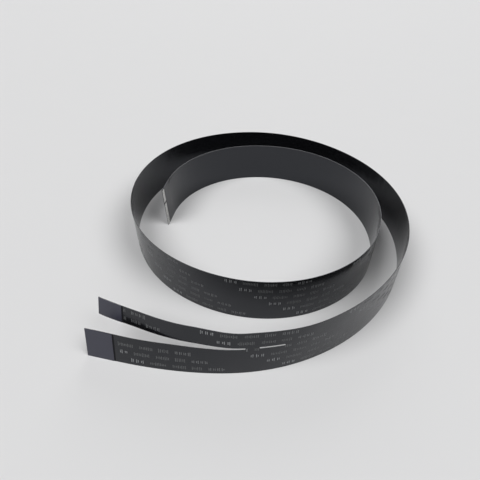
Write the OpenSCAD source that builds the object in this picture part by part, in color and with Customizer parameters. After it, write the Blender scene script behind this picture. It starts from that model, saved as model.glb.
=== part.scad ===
// Flat flex cable.  A black laminated strip of flat conductors stands on one long edge in a loose
// spiral of nearly two turns.  Its inner end is full width; its outer end is slit into two tails.
// Millimetres, +Z up.  The origin is the middle of the footprint, on the surface it stands on.

/* [Strip] */
// Length along the strip, from the wide end to the end of the lower tail
cable_length = 1070; // [800:10:1400]
// Centre-to-centre spacing of the conductors
conductor_pitch = 1.25; // [1:0.05:1.5]
// Bare film between one conductor and the next
conductor_gap = 0.45; // [0.3:0.05:0.6]
// Film beyond the outermost conductors, at both long edges
edge_margin = 0.6; // [0.3:0.1:2]
// Thickness of each insulating film
film_t = 0.1; // [0.06:0.01:0.2]
// Thickness of the flat copper conductors
conductor_t = 0.1; // [0.05:0.01:0.15]

/* [Tails] */
// Number of conductors in the lower tail
lower_ways = 14; // [6:1:24]
// Number of conductors in the upper tail
upper_ways = 8; // [4:1:20]
// Length of the lower tail, from the open slit's root
tail_length = 83; // [60:1:160]
// How far the upper tail stops short of the lower one
tail_stagger = 2; // [0:0.5:20]
// Width of the slit between the tails
slit_w = 1.2; // [0.4:0.1:2]
// Film beyond the conductors at each lip of the slit
slit_margin = 0.25; // [0.1:0.05:1]
// Uncut web between the open slit and the short closed slit
web_length = 7; // [3:1:20]
// Length of the short closed slit
closed_slit_length = 13; // [5:1:40]
// Angle that the upper tail's end is turned away from the lower tail
tail_spread = 15; // [5:1:30]

/* [Ends] */
// Bare conductor at each end, on the strip's inner face
contact_length = 4; // [3:0.5:8]
// Length of the stiffener at each end, on the strip's outer face
stiffener_length = 15; // [10:1:30]
// Thickness of the stiffeners
stiffener_t = 0.2; // [0.1:0.05:0.3]

/* [Lay] */
// Longest flat facet that the strip's bends are made of
facet_length = 7; // [6:0.5:12]

/* [Hidden] */
// Direction that the strip runs in, in degrees from +X, at equal steps of the bent run between
// the stiffened ends, from the wide end to the tails.  The ends themselves lie straight.
HEADINGS = [82, 38, -4, -43, -81, -116, -153, -191, -224, -255, -284,
            -316, -351, -384, -413, -440, -467, -491, -515, -539, -552];
LAST_HEADING = len(HEADINGS) - 1;

// Sizes across the strip, from its lower long edge upwards
conductor_w = conductor_pitch - conductor_gap;
lower_block_top = edge_margin + lower_ways * conductor_pitch - conductor_gap;
slit_bottom = lower_block_top + slit_margin;
slit_top = slit_bottom + slit_w;
upper_block_bottom = slit_top + slit_margin;
upper_block_top = upper_block_bottom + upper_ways * conductor_pitch - conductor_gap;
cable_w = upper_block_top + edge_margin;

// Faces of the laminate, measured from the middle of the conductors towards the outer face
core_outer = conductor_t / 2;
core_inner = -core_outer;
skin_outer = core_outer + film_t;
skin_inner = core_inner - film_t;
stiffener_outer = skin_outer + stiffener_t;

// Places along the strip
fork = cable_length - tail_length;
lower_end = cable_length;
upper_end = cable_length - tail_stagger;
closed_slit_end = fork - web_length;
closed_slit_start = closed_slit_end - closed_slit_length;

// The strip bends only between its stiffened ends.
bent_start = stiffener_length;
bent_end = upper_end - stiffener_length;

function sorted(v) =
    len(v) < 2 ? v :
    let (first = v[0], rest = [for (i = [1 : len(v) - 1]) v[i]])
    concat(sorted([for (x = rest) if (x < first) x]), [first],
           sorted([for (x = rest) if (x > first) x]));

// Every place where something starts or ends has a station of its own, and the runs between
// them are divided evenly.
MARKS = sorted([
    0, contact_length, bent_start,
    closed_slit_start, closed_slit_end, fork,
    bent_end, upper_end - contact_length, upper_end,
    lower_end - stiffener_length, lower_end - contact_length, lower_end
]);
STATIONS = concat([0], [
    for (i = [1 : len(MARKS) - 1])
        let (run = MARKS[i] - MARKS[i - 1], facets = ceil(run / facet_length))
        for (k = [1 : facets]) MARKS[i - 1] + run * k / facets
]);

function clamp(x) = max(0, min(1, x));
function heading_at(i) =
    i < 0 ? 2 * HEADINGS[0] - HEADINGS[1] :
    i > LAST_HEADING ? 2 * HEADINGS[LAST_HEADING] - HEADINGS[LAST_HEADING - 1] :
    HEADINGS[i];
function blend(a, b, c, d, u) =
    b + u / 2 * (c - a + u * (2 * a - 5 * b + 4 * c - d + u * (3 * b - 3 * c + d - a)));
function main_heading(s) =
    let (x = clamp((s - bent_start) / (bent_end - bent_start)) * LAST_HEADING,
         i = min(floor(x), LAST_HEADING - 1))
    blend(heading_at(i - 1), heading_at(i), heading_at(i + 1), heading_at(i + 2), x - i);
function upper_heading(s) =
    main_heading(s) - tail_spread * clamp((s - fork) / (bent_end - fork));

// A line is a list of [station, point, heading], laid off one facet at a time.
function line(headings) =
    let (last = len(STATIONS) - 1)
    [for (i = 0, p = [0, 0];
          i <= last;
          p = i < last ? p + (STATIONS[i + 1] - STATIONS[i]) * [cos(headings[i]), sin(headings[i])] : p,
          i = i + 1)
        [STATIONS[i], p, (headings[max(i - 1, 0)] + headings[min(i, last - 1)]) / 2]];
MIDDLES = [for (i = [1 : len(STATIONS) - 1]) (STATIONS[i] + STATIONS[i - 1]) / 2];
LOWER_LINE = line([for (s = MIDDLES) main_heading(s)]);
UPPER_LINE = line([for (s = MIDDLES) upper_heading(s)]);

// The edge of a layer: the line's points from one station to another, moved sideways.
TINY = 0.0001;
function edge(line, from, to, offset) =
    [for (v = line) if (v[0] > from - TINY && v[0] < to + TINY) v[1] + offset * [-sin(v[2]), cos(v[2])]];
function reversed(v) = [for (i = [len(v) - 1 : -1 : 0]) v[i]];
function outline(line, from, to, inner, outer) =
    concat(edge(line, from, to, inner), reversed(edge(line, from, to, outer)));

FOOTPRINT = concat(
    outline(LOWER_LINE, 0, lower_end, skin_inner, skin_outer),
    outline(UPPER_LINE, 0, upper_end, skin_inner, skin_outer),
    outline(LOWER_LINE, 0, stiffener_length, skin_inner, stiffener_outer),
    outline(LOWER_LINE, lower_end - stiffener_length, lower_end, skin_inner, stiffener_outer),
    outline(UPPER_LINE, upper_end - stiffener_length, upper_end, skin_inner, stiffener_outer));
MIDDLE = [for (axis = [0, 1])
    let (values = [for (p = FOOTPRINT) p[axis]]) (min(values) + max(values)) / 2];

LOWER_NAMES = [for (k = [1 : lower_ways]) str("lower_conductor_", k)];
UPPER_NAMES = [for (k = [1 : upper_ways]) str("upper_conductor_", k)];

// One upright layer of the strip, between two stations, two faces and two heights
module band(line, from, to, inner, outer, bottom, top) {
    translate([-MIDDLE[0], -MIDDLE[1], bottom])
        linear_extrude(height = top - bottom)
            polygon(outline(line, from, to, inner, outer));
}

// The outer film runs to the very ends.  Beyond the conductors it is bonded through to the
// inner film, so there it fills the conductors' thickness as well.
module outer_film() {
    color("#1b1c1f") union() {
        band(LOWER_LINE, 0, lower_end, core_inner, skin_outer, 0, edge_margin);
        band(LOWER_LINE, 0, lower_end, core_outer, skin_outer, edge_margin, lower_block_top);
        band(LOWER_LINE, 0, lower_end, core_inner, skin_outer, lower_block_top, slit_bottom);
        band(LOWER_LINE, 0, closed_slit_start, core_inner, skin_outer, slit_bottom, slit_top);
        band(LOWER_LINE, closed_slit_end, fork, core_inner, skin_outer, slit_bottom, slit_top);
        band(UPPER_LINE, 0, upper_end, core_inner, skin_outer, slit_top, upper_block_bottom);
        band(UPPER_LINE, 0, upper_end, core_outer, skin_outer, upper_block_bottom, upper_block_top);
        band(UPPER_LINE, 0, upper_end, core_inner, skin_outer, upper_block_top, cable_w);
    }
}

// The inner film stops short of the ends and leaves the contacts bare.
module inner_film() {
    start = contact_length;
    color("#232427") union() {
        band(LOWER_LINE, start, lower_end - contact_length, skin_inner, core_inner, 0, slit_bottom);
        band(LOWER_LINE, start, closed_slit_start, skin_inner, core_inner, slit_bottom, slit_top);
        band(LOWER_LINE, closed_slit_end, fork, skin_inner, core_inner, slit_bottom, slit_top);
        band(UPPER_LINE, start, upper_end - contact_length, skin_inner, core_inner, slit_top, cable_w);
    }
}

// One flat tinned conductor, bare on the strip's inner face at both ends
module conductor(line, end, bottom) {
    color("#c8c8c2") band(line, 0, end, core_inner, core_outer, bottom, bottom + conductor_w);
}
module lower_conductor(k) {
    conductor(LOWER_LINE, lower_end, edge_margin + (k - 1) * conductor_pitch);
}
module upper_conductor(k) {
    conductor(UPPER_LINE, upper_end, upper_block_bottom + (k - 1) * conductor_pitch);
}

// Stiff tape on the outer face, which backs the contacts in a connector
module stiffener(line, from, to, bottom, top) {
    color("#45465a") band(line, from, to, skin_outer, stiffener_outer, bottom, top);
}
module wide_end_stiffener() {
    stiffener(LOWER_LINE, 0, stiffener_length, 0, cable_w);
}
module lower_tail_stiffener() {
    stiffener(LOWER_LINE, lower_end - stiffener_length, lower_end, 0, slit_bottom);
}
module upper_tail_stiffener() {
    stiffener(UPPER_LINE, upper_end - stiffener_length, upper_end, slit_top, cable_w);
}

outer_film();
inner_film();
for (k = [1 : lower_ways]) {
    lower_conductor(k);
}
for (k = [1 : upper_ways]) {
    upper_conductor(k);
}
wide_end_stiffener();
lower_tail_stiffener();
upper_tail_stiffener();
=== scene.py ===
"""Dresses a flat flex cable that stands on its long edge in a loose spiral.

Every layer of the cable is cut flat, as a blank whose X is the station along the strip, Y the
height across it and Z the depth in the laminate.  One node tree then lays the blanks along the
route.  The file is laid out as an add-on and is run as a script.  Metres throughout.
"""

import math

import bpy
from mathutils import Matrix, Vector


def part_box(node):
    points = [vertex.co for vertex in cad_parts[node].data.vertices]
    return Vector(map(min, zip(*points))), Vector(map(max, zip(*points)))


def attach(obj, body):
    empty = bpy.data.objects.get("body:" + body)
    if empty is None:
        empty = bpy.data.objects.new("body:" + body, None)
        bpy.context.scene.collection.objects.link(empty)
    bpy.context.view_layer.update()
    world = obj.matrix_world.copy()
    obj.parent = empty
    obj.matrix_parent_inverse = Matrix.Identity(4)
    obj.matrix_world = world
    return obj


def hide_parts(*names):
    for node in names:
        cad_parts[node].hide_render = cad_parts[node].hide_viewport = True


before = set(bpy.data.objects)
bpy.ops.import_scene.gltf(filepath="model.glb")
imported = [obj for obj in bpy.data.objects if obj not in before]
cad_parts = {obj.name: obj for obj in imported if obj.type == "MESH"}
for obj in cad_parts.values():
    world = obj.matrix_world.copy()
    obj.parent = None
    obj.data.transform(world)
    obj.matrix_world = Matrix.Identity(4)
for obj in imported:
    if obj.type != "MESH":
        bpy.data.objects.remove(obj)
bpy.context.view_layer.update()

bl_info = {
    "name": "Flat Flex Cable",
    "version": (1, 0, 0),
    "blender": (4, 5, 0),
    "location": "3D View > Sidebar > Flex Cable",
    "description": "Lays the films, conductors, stiffeners and print of a flat flex cable",
    "category": "Object",
}

MM = 0.001
ROOT = "root"

# Sizes that the frame gives: across the strip, then through it
CABLE_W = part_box("outer_film")[1].z
EDGE_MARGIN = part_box("lower_conductor_1")[0].z
CONDUCTOR_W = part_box("lower_conductor_1")[1].z - EDGE_MARGIN
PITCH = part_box("lower_conductor_2")[0].z - EDGE_MARGIN
LOWER_WAYS = sum(name.startswith("lower_conductor_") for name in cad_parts)
UPPER_WAYS = sum(name.startswith("upper_conductor_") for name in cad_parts)
LOWER_BLOCK_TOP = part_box(f"lower_conductor_{LOWER_WAYS}")[1].z
UPPER_BLOCK_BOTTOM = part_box("upper_conductor_1")[0].z
UPPER_BLOCK_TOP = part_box(f"upper_conductor_{UPPER_WAYS}")[1].z
SLIT_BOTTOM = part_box("lower_tail_stiffener")[1].z
SLIT_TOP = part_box("upper_tail_stiffener")[0].z

# Sizes along the strip, as the CAD source has them
CABLE_LENGTH = 1070 * MM
TAIL_LENGTH = 83 * MM
TAIL_STAGGER = 2 * MM
WEB_LENGTH = 7 * MM
CLOSED_SLIT_LENGTH = 13 * MM
CONTACT_LENGTH = 4 * MM
STIFFENER_LENGTH = 15 * MM
TAIL_SPREAD = 15
FORK = CABLE_LENGTH - TAIL_LENGTH
LOWER_END = CABLE_LENGTH
UPPER_END = CABLE_LENGTH - TAIL_STAGGER
CLOSED_SLIT_END = FORK - WEB_LENGTH
CLOSED_SLIT_START = CLOSED_SLIT_END - CLOSED_SLIT_LENGTH
BENT_START = STIFFENER_LENGTH
BENT_END = UPPER_END - STIFFENER_LENGTH

# Depths in the laminate, from the middle of the conductors towards the outer face
CORE = 0.05 * MM
SKIN = 0.15 * MM
STIFFENER = 0.35 * MM
INK = 0.02 * MM

# A near-black strip beside each stiffener's inner edge: painted shade, standing for the shadow of
# the stiffener's step
STEP_SHADE_WIDTH = 0.9 * MM
STEP_SHADE_DEPTH = 0.04 * MM

# The route: the direction that the strip runs in, in degrees from +X, at equal steps of the
# bent run, from the wide end to the tails
HEADINGS = (82, 38, -4, -43, -81, -116, -153, -191, -224, -255, -284,
            -316, -351, -384, -413, -440, -467, -491, -515, -539, -552)
LAST_HEADING = len(HEADINGS) - 1

# How far the strip's top leans towards its inner side: (station in mm, lean in degrees)
STRIP_LEAN = ((0, -4), (60, -4), (130, -2.5), (200, -2), (280, 0), (380, 0), (480, -2.5),
              (560, -2.5), (650, -0.5), (740, 1.5), (820, 0.5), (880, -0.5), (950, -1.4),
              (987, 2.6))
MAIN_LEAN = (*STRIP_LEAN, (1030, 9.5), (1070, 11.8))
TAIL_LEAN = (*STRIP_LEAN, (1015, 8.4), (1042, 11.5), (1068, 14))

# How far the upper tail's route swings out from the CAD one: (station in mm, distance in mm)
TAIL_SWING = ((1015, 0), (1042, 0.8), (1068, 3.4))

STATION_STEP = 2 * MM


# ---------------------------------------------------------------------------------- route

def clamp(x):
    return max(0.0, min(1.0, x))


def heading_at(i):
    """An entry of HEADINGS, which go on evenly past both ends."""
    if i < 0:
        return 2 * HEADINGS[0] - HEADINGS[1]
    if i > LAST_HEADING:
        return 2 * HEADINGS[LAST_HEADING] - HEADINGS[LAST_HEADING - 1]
    return HEADINGS[i]


def blend(a, b, c, d, u):
    """A smooth curve from b to c, with a and d as its neighbours."""
    return b + u / 2 * (c - a + u * (2 * a - 5 * b + 4 * c - d + u * (3 * b - 3 * c + d - a)))


def main_heading(station):
    x = clamp((station - BENT_START) / (BENT_END - BENT_START)) * LAST_HEADING
    i = min(int(x), LAST_HEADING - 1)
    return blend(*(heading_at(i + k) for k in (-1, 0, 1, 2)), x - i)


def tail_heading(station):
    return main_heading(station) - TAIL_SPREAD * clamp((station - FORK) / (BENT_END - FORK))


def eased(table, station):
    """The value at a station, eased from one entry of the table to the next."""
    for (s0, v0), (s1, v1) in zip(table, table[1:]):
        if station <= s1 * MM:
            u = clamp((station / MM - s0) / (s1 - s0))
            return v0 + (v1 - v0) * u * u * (3 - 2 * u)
    return table[-1][1]


def lean_at(table, station):
    """The lean at a station, in radians."""
    return math.radians(eased(table, station))


def unit(degrees):
    """A level vector of length 1, at an angle from +X."""
    return Vector((math.cos(math.radians(degrees)), math.sin(math.radians(degrees)), 0))


def route_start():
    """The strip's first point: the wide end's stiffener is straight, so its box gives it."""
    low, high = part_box("wide_end_stiffener")
    run = unit(HEADINGS[0])
    out = unit(HEADINGS[0] + 90)
    start = (low + high) / 2 - run * STIFFENER_LENGTH / 2 - out * (SKIN + STIFFENER) / 2
    return Vector((start.x, start.y, 0))


def route_points(heading, end):
    """Points of the strip's lower edge, one for each station step."""
    points = [route_start()]
    for i in range(round(end / STATION_STEP)):
        points.append(points[-1] + unit(heading((i + 0.5) * STATION_STEP)) * STATION_STEP)
    return points


def tail_points():
    """Points of the route that the upper tail takes, one for each station step."""
    points = []
    for i, foot in enumerate(route_points(tail_heading, UPPER_END)):
        station = i * STATION_STEP
        out = unit(tail_heading(station) + 90)
        points.append(foot + out * eased(TAIL_SWING, station) * MM)
    return points


def strip_middle():
    """Points midway between the strip's two long edges."""
    middle = []
    feet = zip(route_points(main_heading, LOWER_END), tail_points())
    for i, (foot, tail_foot) in enumerate(feet):
        station = i * STATION_STEP
        lean = lean_at(TAIL_LEAN, station)
        rise = Vector((0, 0, math.cos(lean))) - unit(tail_heading(station) + 90) * math.sin(lean)
        middle.append((foot + tail_foot + rise * CABLE_W) / 2)
    return middle


def make_route(name, points, lean):
    """A poly curve along the strip's lower edge; the tilt of its points is the strip's lean."""
    curve = bpy.data.curves.new(name, "CURVE")
    curve.dimensions = "3D"
    spline = curve.splines.new("POLY")
    spline.points.add(len(points) - 1)
    for i, (place, p) in enumerate(zip(points, spline.points)):
        p.co = (*place, 1)
        p.tilt = lean_at(lean, i * STATION_STEP)
    route = bpy.data.objects.new(name, curve)
    bpy.context.scene.collection.objects.link(route)
    return route


# --------------------------------------------------------------------------------- blanks

def stations_between(start, end, marks=()):
    """Stations from start to end, a step apart at most, with one at each mark."""
    stops = sorted({start, end, *(m for m in marks if start < m < end)})
    stations = [start]
    for a, b in zip(stops, stops[1:]):
        count = max(1, math.ceil((b - a) / STATION_STEP - 1e-6))
        stations += [a + (b - a) * k / count for k in range(1, count + 1)]
    return stations


def blank(name, stations, heights, depths, filled=lambda station, height, depth: True):
    """A closed flat blank of the cells for which filled(station, height, depth) is true.

    The faces that a knife or a die left, across the laminate, are marked cut_edge.
    """
    axes = (stations, heights, depths)
    middles = [[(a + b) / 2 for a, b in zip(axis, axis[1:])] for axis in axes]
    counts = [len(m) for m in middles]
    cells = [
        (i, j, k)
        for i in range(counts[0]) for j in range(counts[1]) for k in range(counts[2])
        if filled(middles[0][i], middles[1][j], middles[2][k])
    ]
    solid = set(cells)
    vertices, faces, cut = {}, [], []
    rings = (((0, 0), (0, 1), (1, 1), (1, 0)), ((0, 0), (1, 0), (1, 1), (0, 1)))
    for cell in cells:
        for axis in range(3):
            for side in (0, 1):
                beside = list(cell)
                beside[axis] += 2 * side - 1
                if tuple(beside) in solid:
                    continue
                across, up = (axis + 1) % 3, (axis + 2) % 3
                ring = []
                for a, u in rings[side]:
                    corner = list(cell)
                    corner[axis] += side
                    corner[across] += a
                    corner[up] += u
                    ring.append(vertices.setdefault(tuple(corner), len(vertices)))
                faces.append(ring)
                cut.append(axis < 2)
    mesh = bpy.data.meshes.new(name)
    mesh.from_pydata([[axes[n][c[n]] for n in range(3)] for c in vertices], [], faces)
    edges = mesh.attributes.new("cut_edge", "FLOAT", "FACE")
    edges.data.foreach_set("value", [float(c) for c in cut])
    return mesh


def in_slits(station, height):
    """True in the open slit between the tails and in the short closed slit before it."""
    level = SLIT_BOTTOM < height < SLIT_TOP
    return level and (station > FORK or CLOSED_SLIT_START < station < CLOSED_SLIT_END)


def strip_end(height):
    """The end of the tail that a height belongs to."""
    return UPPER_END if height > SLIT_BOTTOM else LOWER_END


# ------------------------------------------------------------------------------ node trees

def feed(tree, socket, value):
    """Links a socket to another one, or sets it to a plain value."""
    if isinstance(value, bpy.types.NodeSocket):
        tree.links.new(value, socket)
    else:
        socket.default_value = value


def add(tree, kind, x, y, inputs=None, **settings):
    """A node at (x, y), with its settings, and its inputs set or linked by name or number."""
    node = tree.nodes.new(kind)
    node.location = (x, y)
    for key, value in settings.items():
        setattr(node, key, value)
    for key, value in (inputs or {}).items():
        feed(tree, node.inputs[key], value)
    return node


def math_node(tree, operation, x, y, *values):
    node = add(tree, "ShaderNodeMath", x, y, dict(enumerate(values)), operation=operation)
    return node.outputs[0]


def vector_node(tree, operation, x, y, *values):
    """A vector sum or product.  The last value of a SCALE is its factor."""
    keys = (0, "Scale") if operation == "SCALE" else range(len(values))
    node = add(tree, "ShaderNodeVectorMath", x, y, dict(zip(keys, values)), operation=operation)
    return node.outputs[0]


def combine(tree, x, y, **parts):
    """A vector from its named parts, X, Y and Z; a part that isn't given is 0."""
    return add(tree, "ShaderNodeCombineXYZ", x, y, parts).outputs[0]


def split_position(tree, x, y):
    """A point's station, height and depth."""
    position = add(tree, "GeometryNodeInputPosition", x - 200, y).outputs[0]
    return add(tree, "ShaderNodeSeparateXYZ", x, y, {0: position}).outputs


# What the trees are given: (name, type of socket)
LAY_INPUTS = [("Main Route", "NodeSocketObject"), ("Tail Route", "NodeSocketObject"),
              ("Slit Height", "NodeSocketFloat")]
ROUTE_INPUTS = LAY_INPUTS + [("Material", "NodeSocketMaterial")]


def new_tree(name, inputs):
    """A geometry node group with its named inputs and one geometry output."""
    tree = bpy.data.node_groups.new(name, "GeometryNodeTree")
    tree.interface.new_socket("Geometry", in_out="INPUT", socket_type="NodeSocketGeometry")
    for label, kind in inputs:
        tree.interface.new_socket(label, in_out="INPUT", socket_type=kind)
    tree.interface.new_socket("Geometry", in_out="OUTPUT", socket_type="NodeSocketGeometry")
    return tree


def sample_route(tree, route, station, y):
    """Place, direction and lean of a route at a station."""
    info = add(tree, "GeometryNodeObjectInfo", -900, y, {"Object": route},
               transform_space="RELATIVE")
    tilt = add(tree, "GeometryNodeInputCurveTilt", -900, y - 220)
    sample = add(
        tree, "GeometryNodeSampleCurve", -700, y,
        {"Curves": info.outputs["Geometry"], "Value": tilt.outputs[0], "Length": station},
        mode="LENGTH", data_type="FLOAT", use_all_curves=True)
    return sample.outputs["Position"], sample.outputs["Tangent"], sample.outputs["Value"]


def pick(tree, kind, choice, otherwise, chosen, x, y):
    node = add(tree, "GeometryNodeSwitch", x, y, {0: choice, 1: otherwise, 2: chosen},
               input_type=kind)
    return node.outputs[0]


def lay_tree():
    """Lays flat blanks along the two routes: below the slit along the main one, above it along
    the tail one, which parts from it at the fork."""
    tree = new_tree("Lay Along Route", LAY_INPUTS)
    given = add(tree, "NodeGroupInput", -1300, 0)
    station, height, depth = split_position(tree, -1100, -300)
    place = combine(tree, -500, 500, X=station, Y=height)
    mapped = add(
        tree, "GeometryNodeStoreNamedAttribute", -200, 400,
        {"Geometry": given.outputs["Geometry"], "Name": "UVMap", "Value": place},
        data_type="FLOAT2", domain="CORNER")
    main = sample_route(tree, given.outputs["Main Route"], station, 0)
    tail = sample_route(tree, given.outputs["Tail Route"], station, -500)
    upper = add(tree, "FunctionNodeCompare", -700, 300,
                {0: height, 1: given.outputs["Slit Height"]}, operation="GREATER_THAN").outputs[0]
    foot = pick(tree, "VECTOR", upper, main[0], tail[0], -450, 100)
    run = pick(tree, "VECTOR", upper, main[1], tail[1], -450, -100)
    lean = pick(tree, "FLOAT", upper, main[2], tail[2], -450, -300)
    up = add(tree, "FunctionNodeInputVector", -450, -500, vector=(0, 0, 1)).outputs[0]
    sideways = vector_node(tree, "CROSS_PRODUCT", -250, -100, up, run)
    out = vector_node(tree, "NORMALIZE", -100, -100, sideways)
    cosine = math_node(tree, "COSINE", -250, -300, lean)
    sine = math_node(tree, "SINE", -250, -450, lean)
    back = math_node(tree, "MULTIPLY", -100, -450, sine, -1.0)
    rise = vector_node(tree, "ADD", 250, -100, vector_node(tree, "SCALE", 100, -100, up, cosine),
                       vector_node(tree, "SCALE", 100, -250, out, back))
    face = vector_node(tree, "ADD", 250, -400, vector_node(tree, "SCALE", 100, -400, out, cosine),
                       vector_node(tree, "SCALE", 100, -550, up, sine))
    lift = vector_node(tree, "SCALE", 400, -100, rise, height)
    shift = vector_node(tree, "SCALE", 550, -300, face, depth)
    laid = vector_node(tree, "ADD", 700, 0, vector_node(tree, "ADD", 550, 0, foot, lift), shift)
    moved = add(tree, "GeometryNodeSetPosition", 850, 300,
                {"Geometry": mapped.outputs[0], "Position": laid})
    # Station, height and depth are a left-handed set once laid, so the faces are turned round.
    turned = add(tree, "GeometryNodeFlipFaces", 1050, 300, {"Mesh": moved.outputs[0]})
    result = add(tree, "NodeGroupOutput", 1250, 300)
    tree.links.new(turned.outputs[0], result.inputs[0])
    return tree


def place_lay(tree, lay, source, given, x, y):
    """The lay group inside another tree, fed by that tree's own inputs of the same names."""
    node = add(tree, "GeometryNodeGroup", x, y, node_tree=lay)
    tree.links.new(source, node.inputs["Geometry"])
    for label, _ in LAY_INPUTS:
        tree.links.new(given.outputs[label], node.inputs[label])
    return node.outputs[0]


def end_tree(tree, laid, given, x):
    """Gives the laid pieces their material and hands them out."""
    painted = add(tree, "GeometryNodeSetMaterial", x, 0,
                  {"Geometry": laid, "Material": given.outputs["Material"]})
    result = add(tree, "NodeGroupOutput", x + 200, 0)
    tree.links.new(painted.outputs[0], result.inputs[0])


def strips_tree(lay):
    """Copies a blank across the strip at a pitch, and lays the copies along the route."""
    tree = new_tree("Laid Strips", ROUTE_INPUTS + [
        ("Copies", "NodeSocketInt"), ("Pitch", "NodeSocketFloat")])
    given = add(tree, "NodeGroupInput", -900, 0)
    offset = combine(tree, -700, -200, Y=given.outputs["Pitch"])
    line = add(tree, "GeometryNodeMeshLine", -500, 0,
               {"Count": given.outputs["Copies"], "Offset": offset})
    copies = add(tree, "GeometryNodeInstanceOnPoints", -300, 0,
                 {"Points": line.outputs[0], "Instance": given.outputs["Geometry"]})
    real = add(tree, "GeometryNodeRealizeInstances", -100, 0, {0: copies.outputs[0]})
    end_tree(tree, place_lay(tree, lay, real.outputs[0], given, 100, 0), given, 300)
    return tree


def marks_tree(lay):
    """Repeats a group of printed marks along and across the strip, each row set back from the
    one above it, leaves out those on a stiffener or over a slit, and lays them along the route."""
    tree = new_tree("Printed Marks", ROUTE_INPUTS + [
        ("Groups", "NodeSocketInt"), ("Rows", "NodeSocketInt"), ("Seed", "NodeSocketInt"),
        *((label, "NodeSocketFloat") for label in (
            "Group Spacing", "Row Spacing", "Row Setback", "Mark Width", "Mark Height",
            "Least Stretch", "Most Stretch", "Ink Thickness", "Face Depth", "First Station",
            "Last Station", "Slit Bottom", "Slit Top", "Slit Start", "Web Start", "Web End"))])
    given = add(tree, "NodeGroupInput", -2300, 0)
    along = add(tree, "GeometryNodeMeshLine", -1900, 100, {
        "Count": given.outputs["Groups"],
        "Offset": combine(tree, -2100, 0, X=given.outputs["Group Spacing"])})
    groups = add(tree, "GeometryNodeInstanceOnPoints", -1700, 100,
                 {"Points": along.outputs[0], "Instance": given.outputs["Geometry"]})
    across = add(tree, "GeometryNodeMeshLine", -1700, -200, {
        "Count": given.outputs["Rows"],
        "Offset": combine(tree, -1900, -300, X=given.outputs["Row Setback"],
                          Y=given.outputs["Row Spacing"])})
    rows = add(tree, "GeometryNodeInstanceOnPoints", -1500, 0,
               {"Points": across.outputs[0], "Instance": groups.outputs[0]})
    spots = add(tree, "GeometryNodeRealizeInstances", -1300, 0, {0: rows.outputs[0]}).outputs[0]
    station, height, _ = split_position(tree, -1300, -400)

    def test(operation, a, label, y):
        node = add(tree, "FunctionNodeCompare", -1100, y, {0: a, 1: given.outputs[label]},
                   operation=operation)
        return node.outputs[0]

    def join(operation, a, b, x, y):
        node = add(tree, "FunctionNodeBooleanMath", x, y, {0: a, 1: b}, operation=operation)
        return node.outputs[0]

    before = test("LESS_THAN", station, "First Station", -200)
    after = test("GREATER_THAN", station, "Last Station", -350)
    past_ends = join("OR", before, after, -700, -250)
    above_bottom = test("GREATER_THAN", height, "Slit Bottom", -500)
    below_top = test("LESS_THAN", height, "Slit Top", -650)
    at_slit = join("AND", above_bottom, below_top, -900, -550)
    past_start = test("GREATER_THAN", station, "Slit Start", -800)
    past_web_start = test("GREATER_THAN", station, "Web Start", -950)
    before_web_end = test("LESS_THAN", station, "Web End", -1100)
    in_web = join("AND", past_web_start, before_web_end, -900, -1000)
    slit_open = join("NIMPLY", past_start, in_web, -700, -800)
    over_slit = join("AND", at_slit, slit_open, -500, -600)
    gone = join("OR", past_ends, over_slit, -300, -300)
    kept = add(tree, "GeometryNodeDeleteGeometry", -100, 0, {"Geometry": spots, "Selection": gone})
    tick = add(tree, "GeometryNodeMeshCube", -100, -300, {"Size": combine(
        tree, -300, -500, X=given.outputs["Mark Width"], Y=given.outputs["Mark Height"],
        Z=given.outputs["Ink Thickness"])})
    chance = add(tree, "FunctionNodeRandomValue", -100, -600, {
        2: given.outputs["Least Stretch"], 3: given.outputs["Most Stretch"],
        "Seed": given.outputs["Seed"]}, data_type="FLOAT")
    ticks = add(tree, "GeometryNodeInstanceOnPoints", 300, 0, {
        "Points": kept.outputs[0], "Instance": tick.outputs[0],
        "Scale": combine(tree, 100, -500, X=1.0, Y=chance.outputs[1], Z=1.0)})
    lifted = add(tree, "GeometryNodeTranslateInstances", 500, 0, {
        0: ticks.outputs[0],
        "Translation": combine(tree, 300, -300, Z=given.outputs["Face Depth"])})
    real = add(tree, "GeometryNodeRealizeInstances", 700, 0, {0: lifted.outputs[0]})
    end_tree(tree, place_lay(tree, lay, real.outputs[0], given, 900, 0), given, 1100)
    return tree


# -------------------------------------------------------------------------------- finishes

# How strongly each surface mirrors: its index of refraction, and the tint of the film's mirror
OUTER_FILM_IOR = 1.5
INNER_FILM_IOR = 1.57
TAPE_IOR = 1.57
STEP_SHADE_IOR = 1.25
FILM_TINT = (0.88, 0.91, 1.0, 1.0)

# The dust's colour, and the share of the cells of its pattern that hold a speck
DUST = (0.3, 0.3, 0.3)
SPECK_SHARE = 0.3


def new_group(name, inputs, output):
    """A shader node group: (label, default) for each input, a default that is a tuple being a
    vector, and the label of its one output."""
    tree = bpy.data.node_groups.new(name, "ShaderNodeTree")
    for label, default in inputs:
        kind = "NodeSocketVector" if isinstance(default, tuple) else "NodeSocketFloat"
        tree.interface.new_socket(label, in_out="INPUT", socket_type=kind).default_value = default
    tree.interface.new_socket(output, in_out="OUTPUT", socket_type="NodeSocketFloat")
    given = add(tree, "NodeGroupInput", -1200, 0).outputs
    return tree, given, add(tree, "NodeGroupOutput", 800, 0).inputs[0]


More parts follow.
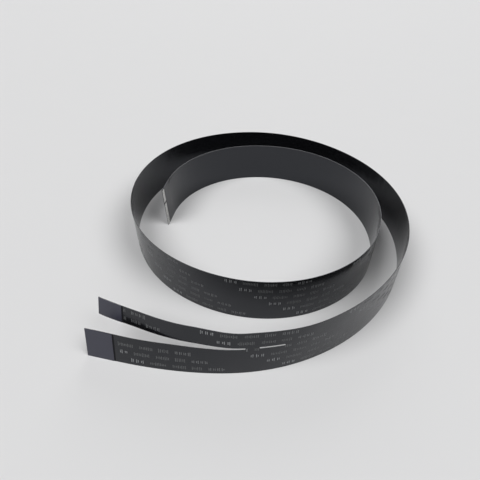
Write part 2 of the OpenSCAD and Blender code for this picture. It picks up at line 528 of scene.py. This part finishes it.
def make_ridges_group():
    """The flat conductors, telegraphed through the film: 1 over a conductor and 0 beside it."""
    tree, given, result = new_group(
        "Conductor Ridges",
        [("Height", 0.0), ("First Edge", 0.0), ("Last Edge", 1.0), ("Pitch", 1.0), ("Width", 0.5)],
        "Ridge")
    above = math_node(tree, "SUBTRACT", -1000, 0, given["Height"], given["First Edge"])
    turns = math_node(tree, "DIVIDE", -850, 0, above, given["Pitch"])
    share = math_node(tree, "FRACT", -700, 0, turns)
    width = math_node(tree, "DIVIDE", -850, -200, given["Width"], given["Pitch"])
    middle = math_node(tree, "MULTIPLY", -700, -200, width, 0.5)
    off = math_node(tree, "ABSOLUTE", -400, 0, math_node(tree, "SUBTRACT", -550, 0, share, middle))
    foot = math_node(tree, "MULTIPLY", -400, -200, middle, 1.25)
    crown = math_node(tree, "MULTIPLY", -400, -350, middle, 0.75)
    soft = add(tree, "ShaderNodeMapRange", -200, 0, {"Value": off, 1: foot, 2: crown},
               interpolation_type="SMOOTHSTEP").outputs[0]
    past_first = math_node(tree, "GREATER_THAN", 0, -200, given["Height"], given["First Edge"])
    before_last = math_node(tree, "LESS_THAN", 0, -350, given["Height"], given["Last Edge"])
    inside = math_node(tree, "MULTIPLY", 200, -200, past_first, before_last)
    tree.links.new(math_node(tree, "MULTIPLY", 400, 0, soft, inside), result)
    return tree


def make_streaks_group():
    """Noise drawn out along the strip, as a rolled or drawn surface has it, from 0 to 1."""
    tree, given, result = new_group(
        "Drawn Streaks", [("Place", (0.0, 0.0, 0.0)), ("Along", 10.0), ("Across", 300.0)], "Streak")
    scale = combine(tree, -900, -200, X=given["Along"], Y=given["Across"], Z=given["Across"])
    stretched = vector_node(tree, "MULTIPLY", -700, 0, given["Place"], scale)
    noise = add(tree, "ShaderNodeTexNoise", -500, 0,
                {"Vector": stretched, "Scale": 1.0, "Detail": 3.0, "Roughness": 0.55})
    tree.links.new(noise.outputs[0], result)
    return tree


def make_dust_group():
    """Fine specks, in some cells of a pattern: a mask that is 1 on a speck."""
    tree, given, result = new_group(
        "Dust Specks", [("Place", (0.0, 0.0, 0.0)), ("Spacing", 2 * MM), ("Size", 0.08)], "Speck")
    scale = math_node(tree, "DIVIDE", -900, -100, 1.0, given["Spacing"])
    cells = add(tree, "ShaderNodeTexVoronoi", -600, 0, {"Vector": given["Place"], "Scale": scale})
    small = math_node(tree, "LESS_THAN", -300, 0, cells.outputs["Distance"], given["Size"])
    chance = add(tree, "ShaderNodeSeparateColor", -450, -200, {0: cells.outputs["Color"]})
    some = math_node(tree, "GREATER_THAN", -300, -200, chance.outputs[0], 1 - SPECK_SHARE)
    tree.links.new(math_node(tree, "MULTIPLY", 0, 0, small, some), result)
    return tree


def use_group(tree, name, maker, x, y, inputs):
    """One of the shared groups, made once, and placed in a material with that material's values."""
    group = bpy.data.node_groups.get(name) or maker()
    return add(tree, "ShaderNodeGroup", x, y, inputs, node_tree=group).outputs[0]


def streaks(tree, place, x, y, along, across):
    """Drawn streaks at this material's own scale: how fine they are along the strip and across."""
    return use_group(tree, "Drawn Streaks", make_streaks_group, x, y,
                     {"Place": place, "Along": along, "Across": across})


def new_material(name, roughness, metallic=0.0, ior=1.5):
    """A material with one Principled shader.  Returns it, its tree and the shader's inputs."""
    material = bpy.data.materials.new(name)
    material.use_nodes = True
    tree = material.node_tree
    shader = tree.nodes["Principled BSDF"]
    shader.inputs["Roughness"].default_value = roughness
    shader.inputs["Metallic"].default_value = metallic
    shader.inputs["IOR"].default_value = ior
    return material, tree, shader.inputs


def shade(colour, factor):
    """A lighter or darker tone of a colour."""
    return [factor * c for c in colour]


def mix_colour(tree, share, low, high, x, y):
    """A mix of two colours, each a socket or three values."""
    low, high = (c if isinstance(c, bpy.types.NodeSocket) else (*c, 1.0) for c in (low, high))
    node = add(tree, "ShaderNodeMix", x, y, {0: share, 6: low, 7: high}, data_type="RGBA")
    return node.outputs[2]


def dust_over(tree, place, tone, x, y, spacing, size, share):
    """A colour with a share of pale dust specks over it."""
    speck = use_group(tree, "Dust Specks", make_dust_group, x - 700, y + 100,
                      {"Place": place, "Spacing": spacing, "Size": size})
    paled = math_node(tree, "MULTIPLY", x - 400, y + 50, speck, share)
    return mix_colour(tree, paled, tone, DUST, x, y)


def link_colour(tree, share, low, high, shader, x, y):
    """Feeds a mix of two colours to a shader."""
    tree.links.new(mix_colour(tree, share, low, high, x, y), shader["Base Color"])


def vary_roughness(tree, value, shader, x, y, below, above):
    """Lets a 0 to 1 value move a shader's roughness, from below its own value to above it."""
    own = shader["Roughness"].default_value
    node = add(tree, "ShaderNodeMapRange", x, y, {"Value": value, 3: own - below, 4: own + above})
    tree.links.new(node.outputs[0], shader["Roughness"])


def link_bump(tree, height, shader, x, y, distance, normal=None):
    """Feeds a relief to a shader, over the one that normal gives, if any."""
    node = add(tree, "ShaderNodeBump", x, y, {"Height": height, "Distance": distance})
    if normal:
        tree.links.new(normal, node.inputs["Normal"])
    tree.links.new(node.outputs[0], shader["Normal"])
    return node.outputs[0]


def film_material(name, finish, ior):
    """Black polyester film: faint ridges over the conductors, drawn streaks, slow ripples."""
    colour = finish.film_colour
    material, tree, shader = new_material(name, finish.film_roughness, ior=ior)
    shader["Specular Tint"].default_value = FILM_TINT
    place = add(tree, "ShaderNodeUVMap", -1600, 0, uv_map="UVMap").outputs[0]
    height = add(tree, "ShaderNodeSeparateXYZ", -1400, -300, {0: place}).outputs[1]
    cut = add(tree, "ShaderNodeAttribute", -900, 500, attribute_name="cut_edge").outputs["Fac"]
    streak = streaks(tree, place, -1200, 200, along=14.0, across=420.0)
    tone = mix_colour(tree, streak, shade(colour, 0.8), shade(colour, 1.25), -700, 300)
    dusty = dust_over(tree, place, tone, -500, 300, spacing=2.6 * MM, size=0.035, share=0.35)
    link_colour(tree, cut, dusty, finish.cut_colour, shader, -300, 300)
    vary_roughness(tree, streak, shader, -500, 100, below=0.05, above=0.07)
    blocks = ((EDGE_MARGIN, LOWER_BLOCK_TOP, -200), (UPPER_BLOCK_BOTTOM, UPPER_BLOCK_TOP, -450))
    ridges = [use_group(tree, "Conductor Ridges", make_ridges_group, -1200, y, {
        "Height": height, "First Edge": first, "Last Edge": last,
        "Pitch": PITCH, "Width": CONDUCTOR_W}) for first, last, y in blocks]
    ridge = math_node(tree, "ADD", -900, -300, *ridges)
    ripple = streaks(tree, place, -1200, -700, along=45.0, across=30.0)
    slow = link_bump(tree, ripple, shader, -600, -500, distance=0.25 * MM)
    link_bump(tree, ridge, shader, -400, -300, distance=0.006 * MM, normal=slow)
    return material


def metal_material(name, colour):
    """Tinned copper, rolled along its length."""
    material, tree, shader = new_material(name, 0.3, metallic=1.0)
    place = add(tree, "ShaderNodeUVMap", -1200, 0, uv_map="UVMap").outputs[0]
    streak = streaks(tree, place, -900, 0, along=120.0, across=6000.0)
    link_colour(tree, streak, shade(colour, 0.8), colour, shader, -500, 200)
    vary_roughness(tree, streak, shader, -500, 0, below=0.08, above=0.12)
    link_bump(tree, streak, shader, -500, -200, distance=0.01 * MM)
    return material


def tape_material(name, colour):
    """Blue-grey stiffener tape: a fine even grain and a slightly mottled tone."""
    material, tree, shader = new_material(name, 0.36, ior=TAPE_IOR)
    place = add(tree, "ShaderNodeUVMap", -1400, 0, uv_map="UVMap").outputs[0]
    mottle = streaks(tree, place, -1000, 100, along=160.0, across=160.0)
    grain = streaks(tree, place, -1000, -200, along=2500.0, across=2500.0)
    tone = mix_colour(tree, mottle, shade(colour, 0.85), shade(colour, 1.15), -600, 200)
    dusty = dust_over(tree, place, tone, -400, 200, spacing=2.2 * MM, size=0.04, share=0.3)
    tree.links.new(dusty, shader["Base Color"])
    vary_roughness(tree, mottle, shader, -600, 0, below=0.04, above=0.06)
    link_bump(tree, grain, shader, -600, -200, distance=0.008 * MM)
    return material


def step_shade_material(name):
    """A near-black, nearly matt finish, soft and without much gloss: painted shade along the
    stiffeners' inner edges.
    """
    material, tree, shader = new_material(name, 0.6, ior=STEP_SHADE_IOR)
    place = add(tree, "ShaderNodeUVMap", -1200, 0, uv_map="UVMap").outputs[0]
    shade_mottle = streaks(tree, place, -900, 0, along=1200.0, across=1200.0)
    # Near-black tones that paint the shadow of the stiffener's step
    link_colour(tree, shade_mottle, (0.003, 0.003, 0.004), (0.009, 0.009, 0.011), shader, -500, 200)
    link_bump(tree, shade_mottle, shader, -500, -200, distance=0.02 * MM)
    return material


def ink_material(name, colour):
    """Pale marking ink, laid on unevenly, and as strong as each mark's ink_tone says."""
    material, tree, shader = new_material(name, 0.55)
    place = add(tree, "ShaderNodeUVMap", -1200, 0, uv_map="UVMap").outputs[0]
    patch = streaks(tree, place, -900, 0, along=900.0, across=900.0)
    tone = add(tree, "ShaderNodeAttribute", -900, 300, attribute_name="ink_tone").outputs["Fac"]
    share = math_node(tree, "MULTIPLY", -700, 200, tone, patch)
    link_colour(tree, share, shade(colour, 0.1), colour, shader, -500, 200)
    vary_roughness(tree, patch, shader, -500, 0, below=0.1, above=0.1)
    return material


def floor_material(colour):
    """Matt pale paper."""
    material, tree, shader = new_material("pale_paper", 0.85)
    place = add(tree, "ShaderNodeTexCoord", -1200, 0).outputs["Object"]
    fibre = streaks(tree, place, -900, 0, along=25.0, across=25.0)
    link_colour(tree, fibre, shade(colour, 0.99), colour, shader, -500, 0)
    return material


# ------------------------------------------------------------------------------ properties

class FlexFinish(bpy.types.PropertyGroup):
    film_colour: bpy.props.FloatVectorProperty(
        name="Film colour", description="Colour of the black film", subtype="COLOR",
        size=3, min=0, max=1, default=(0.0045, 0.0047, 0.0055))
    cut_colour: bpy.props.FloatVectorProperty(
        name="Cut edge colour", description="Colour of the laminate where it is cut through",
        subtype="COLOR", size=3, min=0, max=1, default=(0.03, 0.03, 0.032))
    film_roughness: bpy.props.FloatProperty(
        name="Film roughness", description="Roughness of the film", subtype="FACTOR",
        min=0, max=1, default=0.13)
    tin_colour: bpy.props.FloatVectorProperty(
        name="Tin colour", description="Colour of the tinned contacts", subtype="COLOR",
        size=3, min=0, max=1, default=(0.86, 0.86, 0.84))
    tape_colour: bpy.props.FloatVectorProperty(
        name="Tape colour", description="Colour of the stiffener tape", subtype="COLOR",
        size=3, min=0, max=1, default=(0.021, 0.022, 0.04))
    ink_colour: bpy.props.FloatVectorProperty(
        name="Ink colour", description="Colour of the printed marks", subtype="COLOR",
        size=3, min=0, max=1, default=(0.27, 0.28, 0.29))


class FlexPrint(bpy.types.PropertyGroup):
    group_spacing: bpy.props.FloatProperty(
        name="Group spacing", description="From one group of marks to the next", unit="LENGTH",
        default=78 * MM)
    row_spacing: bpy.props.FloatProperty(
        name="Row spacing", description="From one row of marks to the next", unit="LENGTH",
        default=4.84 * MM)
    row_setback: bpy.props.FloatProperty(
        name="Row setback", description="How far each row starts from the one below it",
        unit="LENGTH", default=8.4 * MM)
    mark_height: bpy.props.FloatProperty(
        name="Mark height", description="Height of a printed mark", unit="LENGTH",
        default=2.2 * MM)
    mark_width: bpy.props.FloatProperty(
        name="Mark width", description="Width of a printed mark", unit="LENGTH",
        default=0.42 * MM)
    first_station: bpy.props.FloatProperty(
        name="First station", description="Where the lowest row's first group starts",
        unit="LENGTH", default=31.2 * MM)
    bottom_row: bpy.props.FloatProperty(
        name="Bottom row", description="Height of the lowest row's middle", unit="LENGTH",
        default=3.1 * MM)
    seed: bpy.props.IntProperty(
        name="Seed", description="Picks the heights of the marks", default=7)


class FlexStage(bpy.types.PropertyGroup):
    floor_colour: bpy.props.FloatVectorProperty(
        name="Floor colour", description="Colour of the floor", subtype="COLOR",
        size=3, min=0, max=1, default=(0.7, 0.7, 0.705))
    camera_place: bpy.props.FloatVectorProperty(
        name="Camera place", description="Where the camera stands", subtype="TRANSLATION",
        unit="LENGTH", size=3, default=(-0.01679, -0.22937, 0.1818))
    camera_pitch: bpy.props.FloatProperty(
        name="Camera pitch", description="How far the camera looks down", subtype="ANGLE",
        default=math.radians(39))
    camera_roll: bpy.props.FloatProperty(
        name="Camera roll", description="How far the camera is turned about its own line of sight",
        subtype="ANGLE", default=math.radians(-1.53))
    camera_lens: bpy.props.FloatProperty(
        name="Lens", description="Focal length of the camera", unit="CAMERA", default=30.24)
    lamp_strength: bpy.props.FloatProperty(
        name="Lamp strength", description="Strength of the soft lamps", default=1.8)
    sky_strength: bpy.props.FloatProperty(
        name="Sky strength", description="Strength of the even light from all round", default=0.07)
    backdrop_strength: bpy.props.FloatProperty(
        name="Backdrop", description="How bright the far backdrop looks, where 1 is white",
        default=0.77)


# ---------------------------------------------------------------------------------- pieces

MAIN_ROUTE = "main_route"
TAIL_ROUTE = "tail_route"
SMOOTH_ANGLE = math.radians(30)


def shared_trees():
    """The two trees that lay blanks, made once, together with the routes."""
    if MAIN_ROUTE not in bpy.data.objects:
        make_route(MAIN_ROUTE, route_points(main_heading, LOWER_END), MAIN_LEAN)
        make_route(TAIL_ROUTE, tail_points(), TAIL_LEAN)
        lay = lay_tree()
        strips_tree(lay)
        marks_tree(lay)
    return bpy.data.node_groups["Laid Strips"], bpy.data.node_groups["Printed Marks"]


def laid_piece(name, mesh, tree, material, values):
    """Runs a tree on a blank and keeps the result as a plain mesh, riding on the root body."""
    holder = bpy.data.objects.new(name + "_blank", mesh)
    bpy.context.scene.collection.objects.link(holder)
    modifier = holder.modifiers.new("lay", "NODES")
    modifier.node_group = tree
    values = {
        "Main Route": bpy.data.objects[MAIN_ROUTE], "Tail Route": bpy.data.objects[TAIL_ROUTE],
        "Slit Height": (SLIT_BOTTOM + SLIT_TOP) / 2, "Material": material, **values}
    for item in tree.interface.items_tree:
        if item.name in values and item.in_out == "INPUT":
            modifier[item.identifier] = values[item.name]
    holder.update_tag()
    shown = holder.evaluated_get(bpy.context.evaluated_depsgraph_get())
    result = bpy.data.meshes.new_from_object(shown)
    bpy.data.objects.remove(holder)
    result.name = name
    result.set_sharp_from_angle(angle=SMOOTH_ANGLE)
    piece = bpy.data.objects.new(name, result)
    bpy.context.scene.collection.objects.link(piece)
    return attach(piece, ROOT)


def strip_piece(name, mesh, material, copies=1, pitch=0.0):
    """A piece laid from one blank, or from copies of it at a pitch across the strip."""
    strips, _ = shared_trees()
    return laid_piece(name, mesh, strips, material, {"Copies": copies, "Pitch": pitch})


class FLEX_OT_outer_film(bpy.types.Operator):
    """Makes the outer film, which fills the conductors' layer at its margins"""
    bl_idname = "flex.outer_film"
    bl_label = "Outer Film"

    def execute(self, context):
        marks = (CLOSED_SLIT_START, CLOSED_SLIT_END, FORK, UPPER_END)
        heights = (0, EDGE_MARGIN, LOWER_BLOCK_TOP, SLIT_BOTTOM, SLIT_TOP,
                   UPPER_BLOCK_BOTTOM, UPPER_BLOCK_TOP, CABLE_W)

        def filled(station, height, depth):
            over_conductors = (EDGE_MARGIN < height < LOWER_BLOCK_TOP
                               or UPPER_BLOCK_BOTTOM < height < UPPER_BLOCK_TOP)
            if station > strip_end(height) or in_slits(station, height):
                return False
            return depth > CORE or not over_conductors

        mesh = blank("outer_film_blank", stations_between(0, LOWER_END, marks), heights,
                     (-CORE, CORE, SKIN), filled)
        material = film_material("black_film_outer", context.scene.flex_finish, OUTER_FILM_IOR)
        film = strip_piece("film_outer", mesh, material)
        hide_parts("outer_film")
        path = [tuple(p) for p in strip_middle()]
        return {"FINISHED"}


class FLEX_OT_inner_film(bpy.types.Operator):
    """Makes the inner film, which stops short of the ends and leaves the contacts bare"""
    bl_idname = "flex.inner_film"
    bl_label = "Inner Film"

    def execute(self, context):
        marks = (CLOSED_SLIT_START, CLOSED_SLIT_END, FORK, UPPER_END - CONTACT_LENGTH)
        heights = (0, SLIT_BOTTOM, SLIT_TOP, CABLE_W)

        def filled(station, height, depth):
            return station < strip_end(height) - CONTACT_LENGTH and not in_slits(station, height)

        stations = stations_between(CONTACT_LENGTH, LOWER_END - CONTACT_LENGTH, marks)
        mesh = blank("inner_film_blank", stations, heights, (-SKIN, -CORE), filled)
        material = film_material("black_film_inner", context.scene.flex_finish, INNER_FILM_IOR)
        film = strip_piece("film_inner", mesh, material)
        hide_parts("inner_film")
        return {"FINISHED"}


class FLEX_OT_conductors(bpy.types.Operator):
    """Makes the flat tinned conductors of both tails, bare at their ends"""
    bl_idname = "flex.conductors"
    bl_label = "Conductors"

    def execute(self, context):
        material = metal_material("tinned_copper", context.scene.flex_finish.tin_colour)
        for tail, ways, bottom, end in (("lower", LOWER_WAYS, EDGE_MARGIN, LOWER_END),
                                        ("upper", UPPER_WAYS, UPPER_BLOCK_BOTTOM, UPPER_END)):
            mesh = blank(tail + "_conductor_blank", stations_between(0, end),
                         (bottom, bottom + CONDUCTOR_W), (-CORE, CORE))
            strips = strip_piece(tail + "_conductors", mesh, material, ways, PITCH)
            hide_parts(*(f"{tail}_conductor_{k}" for k in range(1, ways + 1)))
        return {"FINISHED"}


class FLEX_OT_stiffeners(bpy.types.Operator):
    """Makes the stiffeners on the outer face, at the wide end and at the end of each tail, and
    a near-black strip along their inner edges that is painted shade, standing for the shadow of
    their step"""
    bl_idname = "flex.stiffeners"
    bl_label = "Stiffeners"

    def execute(self, context):
        material = tape_material("stiffener_tape", context.scene.flex_finish.tape_colour)
        full_width = (0, SLIT_BOTTOM, SLIT_TOP, CABLE_W)
        for place, heights, end in (("wide_end", full_width, STIFFENER_LENGTH),
                                    ("lower_tail", (0, SLIT_BOTTOM), LOWER_END),
                                    ("upper_tail", (SLIT_TOP, CABLE_W), UPPER_END)):
            mesh = blank(place + "_blank", stations_between(end - STIFFENER_LENGTH, end), heights,
                         (SKIN, STIFFENER))
            backing = strip_piece(place + "_backing", mesh, material)
            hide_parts(place + "_stiffener")

        # Painted shade: a near-black strip just past each stiffener's inner edge stands for the
        # shadow of its step
        wide_stop = STIFFENER_LENGTH + STEP_SHADE_WIDTH
        starts = (LOWER_END - STIFFENER_LENGTH, UPPER_END - STIFFENER_LENGTH)
        marks = (STIFFENER_LENGTH, wide_stop, *starts, *(s - STEP_SHADE_WIDTH for s in starts))

        def filled(station, height, depth):
            tail_start = strip_end(height) - STIFFENER_LENGTH
            at_tail = tail_start - STEP_SHADE_WIDTH < station < tail_start
            in_slit = SLIT_BOTTOM < height < SLIT_TOP
            return STIFFENER_LENGTH < station < wide_stop or at_tail and not in_slit

        mesh = blank("step_shade_blank", stations_between(0, LOWER_END, marks), full_width,
                     (SKIN, SKIN + STEP_SHADE_DEPTH), filled)
        lines = strip_piece("adhesive_lines", mesh, step_shade_material("painted_step_shade"))
        return {"FINISHED"}


# The runs in one group of marks: (start in mm, marks, spacing in mm, tone), each mark two strokes
MARK_RUNS = ((0, 3, 2.65, 1.5), (10.2, 5, 1.7, 0.45), (21.9, 4, 1.8, 0.45), (31.7, 3, 1.9, 0.45),
             (40.2, 4, 2.2, 0.7))
STROKE_GAP = 0.85 * MM
PRINT_ROWS = 6

# Each stroke is this share of the marks' height, by chance
LEAST_STRETCH = 0.55
MOST_STRETCH = 1.15

# How far the print stays clear of the stiffeners
PRINT_MARGIN = 1 * MM


class FLEX_OT_print(bpy.types.Operator):
    """Makes the rows of small plain marks that are printed on the outer face"""
    bl_idname = "flex.print"
    bl_label = "Print"

    def execute(self, context):
        marks = context.scene.flex_print
        strokes = [
            (marks.first_station - (first + k * gap) * MM - side * STROKE_GAP, tone)
            for first, count, gap, tone in MARK_RUNS for k in range(count) for side in (0, 1)]
        mesh = bpy.data.meshes.new("marks_blank")
        mesh.from_pydata([(station, marks.bottom_row, 0) for station, _ in strokes], [], [])
        tones = mesh.attributes.new("ink_tone", "FLOAT", "POINT")
        tones.data.foreach_set("value", [tone for _, tone in strokes])
        _, tree = shared_trees()
        reach = marks.mark_height / 2
        piece = laid_piece(
            "printed_marks", mesh, tree,
            ink_material("pale_ink", context.scene.flex_finish.ink_colour),
            {"Groups": int(CABLE_LENGTH / marks.group_spacing) + 2,
             "Rows": PRINT_ROWS, "Seed": marks.seed, "Group Spacing": marks.group_spacing,
             "Row Spacing": marks.row_spacing, "Row Setback": marks.row_setback,
             "Mark Width": marks.mark_width, "Mark Height": marks.mark_height,
             "Least Stretch": LEAST_STRETCH, "Most Stretch": MOST_STRETCH,
             "Ink Thickness": INK, "Face Depth": SKIN + INK / 2,
             "First Station": STIFFENER_LENGTH + PRINT_MARGIN,
             "Last Station": UPPER_END - STIFFENER_LENGTH - PRINT_MARGIN,
             "Slit Bottom": SLIT_BOTTOM - reach, "Slit Top": SLIT_TOP + reach,
             "Slit Start": CLOSED_SLIT_START, "Web Start": CLOSED_SLIT_END, "Web End": FORK})
        return {"FINISHED"}


# Large soft lamps, far off: (name, degrees to the right of the camera's side, degrees above the
# floor, share of the strength)
SOFT_LAMPS = (("left_lamp", -60, 57, 1.0), ("right_lamp", 64, 52, 0.86),
              ("rear_lamp", 175, 30, 0.25))
LAMP_ANGLE = math.radians(36)
WHITE = (1, 1, 1, 1)

# Half the side of the square floor, and its level: a hair below the cable, so that the two never
# share a plane
FLOOR_REACH = 4.0
FLOOR_LEVEL = -0.05 * MM

# The width of the camera's sensor, in mm, and the nearest that it sees
SENSOR_WIDTH = 36
NEAREST_SEEN = 0.01


class FLEX_OT_stage(bpy.types.Operator):
    """Makes the floor, the soft light and the camera"""
    bl_idname = "flex.stage"
    bl_label = "Stage"

    def execute(self, context):
        scene, stage = context.scene, context.scene.flex_stage
        scene.view_settings.view_transform = "Standard"
        mesh = bpy.data.meshes.new("floor")
        corners = [(x * FLOOR_REACH, y * FLOOR_REACH, FLOOR_LEVEL)
                   for x, y in ((-1, -1), (1, -1), (1, 1), (-1, 1))]
        mesh.from_pydata(corners, [], [(0, 1, 2, 3)])
        mesh.materials.append(floor_material(stage.floor_colour))
        floor = bpy.data.objects.new("floor", mesh)
        scene.collection.objects.link(floor)

        world = bpy.data.worlds.new("studio")
        world.use_nodes = True
        tree = world.node_tree
        light = tree.nodes["Background"]
        light.inputs["Color"].default_value = WHITE
        light.inputs["Strength"].default_value = stage.sky_strength
        backdrop = add(tree, "ShaderNodeBackground", 0, -200,
                       {"Color": WHITE, "Strength": stage.backdrop_strength})
        rays = add(tree, "ShaderNodeLightPath", -400, 0).outputs
        mirrored = math_node(tree, "MAXIMUM", -200, -200,
                             rays["Is Glossy Ray"], rays["Is Transmission Ray"])
        seen = math_node(tree, "MAXIMUM", -200, 0, rays["Is Camera Ray"], mirrored)
        mixed = add(tree, "ShaderNodeMixShader", 200, 0,
                    {0: seen, 1: light.outputs[0], 2: backdrop.outputs[0]})
        tree.links.new(mixed.outputs[0], tree.nodes["World Output"].inputs["Surface"])
        scene.world = world
        for name, bearing, height, share in SOFT_LAMPS:
            lamp = bpy.data.lights.new(name, "SUN")
            lamp.angle = LAMP_ANGLE
            lamp.energy = share * stage.lamp_strength
            holder = bpy.data.objects.new(name, lamp)
            level = unit(bearing - 90) * math.cos(math.radians(height))
            holder.location = level + Vector((0, 0, math.sin(math.radians(height))))
            holder.rotation_euler = holder.location.to_track_quat("Z", "Y").to_euler()
            scene.collection.objects.link(holder)

        camera = bpy.data.cameras.new("camera")
        camera.sensor_width = SENSOR_WIDTH
        camera.lens = stage.camera_lens
        camera.clip_start = NEAREST_SEEN
        eye = bpy.data.objects.new("camera", camera)
        eye.location = stage.camera_place
        eye.rotation_euler = (math.pi / 2 - stage.camera_pitch, 0, 0)
        eye.rotation_euler.rotate_axis("Z", -stage.camera_roll)
        scene.collection.objects.link(eye)
        scene.camera = eye
        return {"FINISHED"}


OPERATORS = (FLEX_OT_stage, FLEX_OT_outer_film, FLEX_OT_inner_film, FLEX_OT_conductors,
             FLEX_OT_stiffeners, FLEX_OT_print)
GROUPS = {"flex_finish": FlexFinish, "flex_print": FlexPrint, "flex_stage": FlexStage}


class FLEX_PT_cable(bpy.types.Panel):
    """The cable's sizes, colours and pieces"""
    bl_idname = "FLEX_PT_cable"
    bl_label = "Flat Flex Cable"
    bl_space_type = "VIEW_3D"
    bl_region_type = "UI"
    bl_category = "Flex Cable"

    def draw(self, context):
        for name in GROUPS:
            group = getattr(context.scene, name)
            box = self.layout.box()
            for prop in group.bl_rna.properties:
                if not prop.is_readonly and prop.identifier != "name":
                    box.prop(group, prop.identifier)
        for operator in OPERATORS:
            self.layout.operator(operator.bl_idname)


CLASSES = (*GROUPS.values(), *OPERATORS, FLEX_PT_cable)


def register():
    for cls in CLASSES:
        bpy.utils.register_class(cls)
    for name, cls in GROUPS.items():
        setattr(bpy.types.Scene, name, bpy.props.PointerProperty(type=cls))


def unregister():
    for name in GROUPS:
        delattr(bpy.types.Scene, name)
    for cls in reversed(CLASSES):
        bpy.utils.unregister_class(cls)


def main():
    register()
    bpy.ops.flex.stage()
    bpy.ops.flex.outer_film()
    bpy.ops.flex.inner_film()
    bpy.ops.flex.conductors()
    bpy.ops.flex.stiffeners()
    bpy.ops.flex.print()
    for name in (MAIN_ROUTE, TAIL_ROUTE):
        bpy.data.objects.remove(bpy.data.objects[name])
    bpy.context.view_layer.update()
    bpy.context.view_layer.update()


if __name__ == "__main__":
    main()
